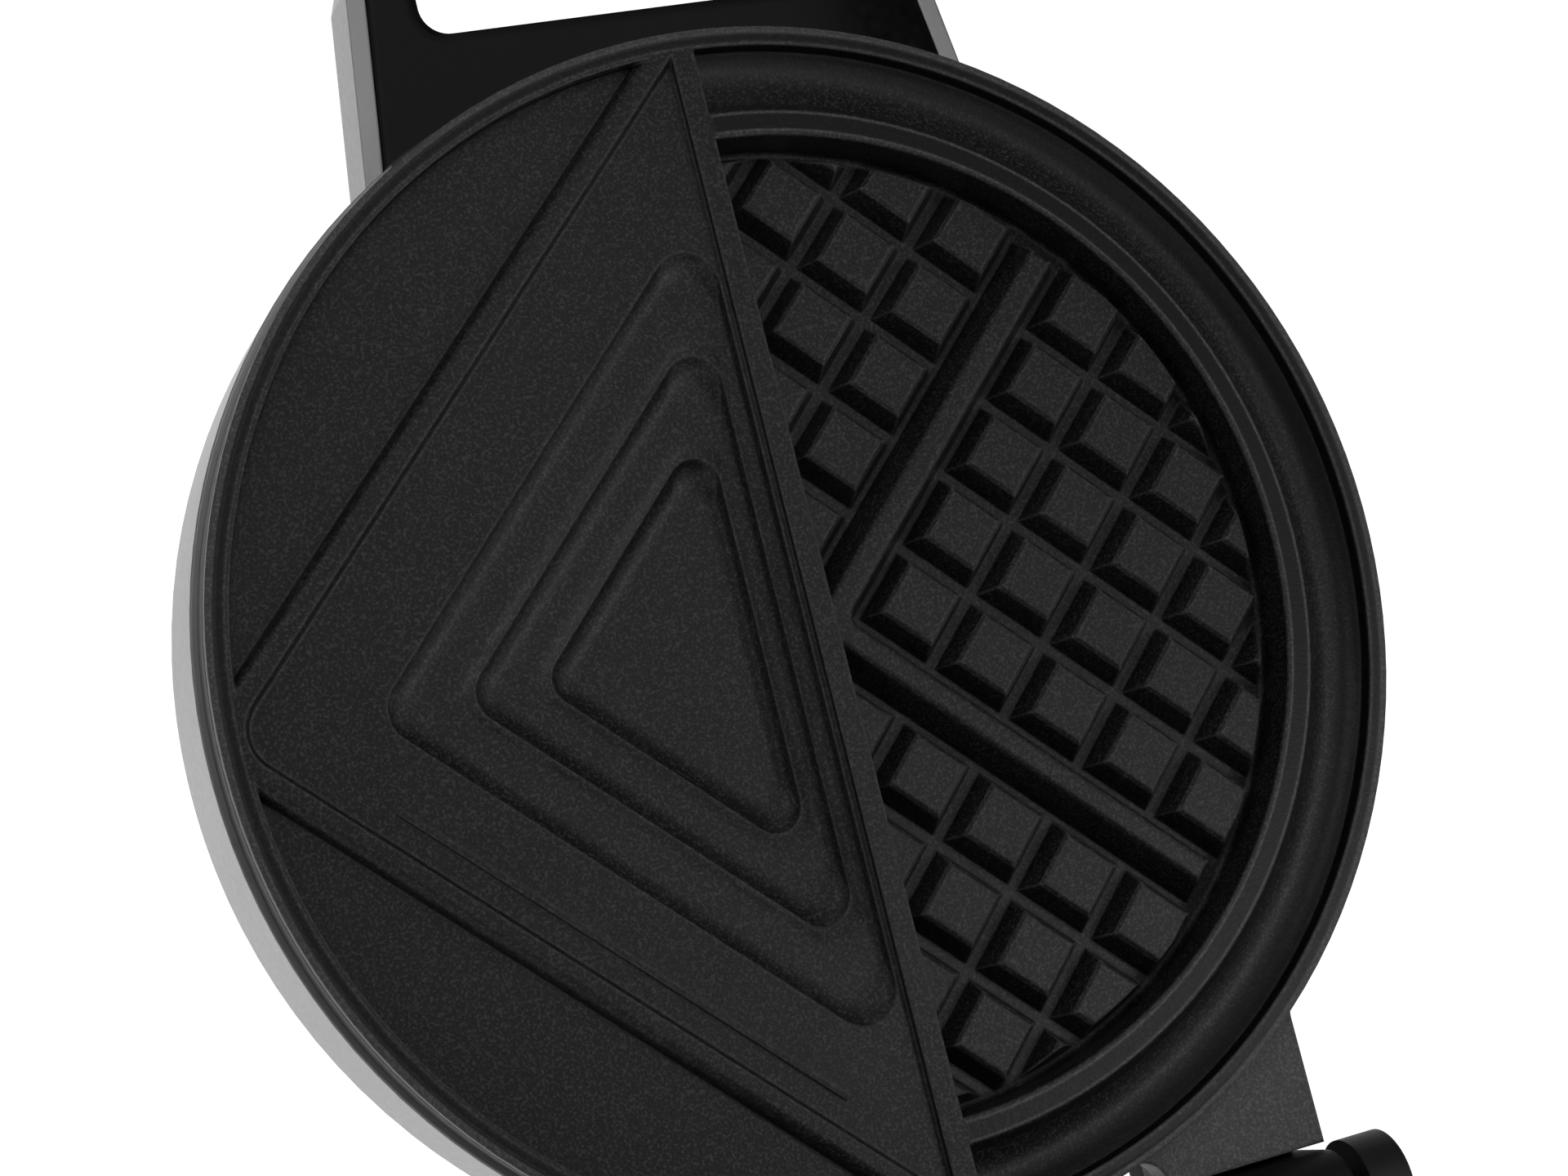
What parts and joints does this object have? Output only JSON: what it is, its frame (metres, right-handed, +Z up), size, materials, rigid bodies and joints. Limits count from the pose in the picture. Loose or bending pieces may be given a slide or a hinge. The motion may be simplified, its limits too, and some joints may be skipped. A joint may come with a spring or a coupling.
{
  "type": "sandwich maker",
  "caption": "Round countertop cooker with a hinged lid, cast plates with sandwich pockets on one half and a waffle grid on the other, looped handles and a latch.",
  "frame": {"origin": "on the table, at the middle of the open appliance's footprint box; the plates' centre is at Y = -0.0328", "axes": "+Z up, -Y towards the handle, +Y towards the hinge, +X to the right of someone at the handle"},
  "size_m": [0.212, 0.3726, 0.3402],
  "materials": {
    "satin_silver": "satin silver lacquer on moulded plastic",
    "gloss_black": "glossy black",
    "matte_black": "fine texture",
    "nonstick": "speckled charcoal non-stick coating",
    "element_steel": "heat-dulled tube",
    "zinc_steel": "zinc plated",
    "fuse_body": "cream enamel",
    "thermostat_metal": "bare",
    "red_lens": "clear red",
    "green_lens": "clear green",
    "board": "resin board",
    "white_plastic": "ceramic-filled",
    "soft_black": "soft",
    "foot_rubber": "matte"
  },
  "bodies": {
    "base": {"base_housing": "matte_black", "base_handle": "matte_black", "hinge_block": "matte_black", "base_cover": "matte_black", "lower_plate": "nonstick", "lower_element": "element_steel", "lower_clamps": "zinc_steel", "lower_heat_shield": "zinc_steel", "lower_plate_screws": "zinc_steel", "lower_fuse": "fuse_body", "thermostat": "thermostat_metal", "thermostat_screws": "zinc_steel", "terminal_block": "white_plastic", "cord_clamp": "matte_black", "cord_gland": "soft_black", "hinge_pins": "zinc_steel", "feet": "foot_rubber", "cover_screws": "zinc_steel"},
    "lid": {"lid_cover": "satin_silver", "lid_frame": "gloss_black", "upper_plate": "nonstick", "upper_element": "element_steel", "upper_clamps": "zinc_steel", "upper_heat_shield": "zinc_steel", "upper_plate_screws": "zinc_steel", "upper_fuse": "fuse_body", "lens_power": "red_lens", "lens_ready": "green_lens", "lamp_board": "board", "latch_pin": "zinc_steel"},
    "latch": {"latch_clip": "gloss_black"}
  },
  "joints": [
    {"name": "lid_hinge", "type": "hinge", "parent": "base", "child": "lid", "pos_m": [0, 0.08166, 0.046], "axis": [-1, 0, 0], "range_deg": [-105, 0]},
    {"name": "latch_pivot", "type": "hinge", "parent": "lid", "child": "latch", "pos_m": [0, 0.17331, 0.30304], "axis": [1, 0, 0], "range_deg": [0, 90]}
  ]
}
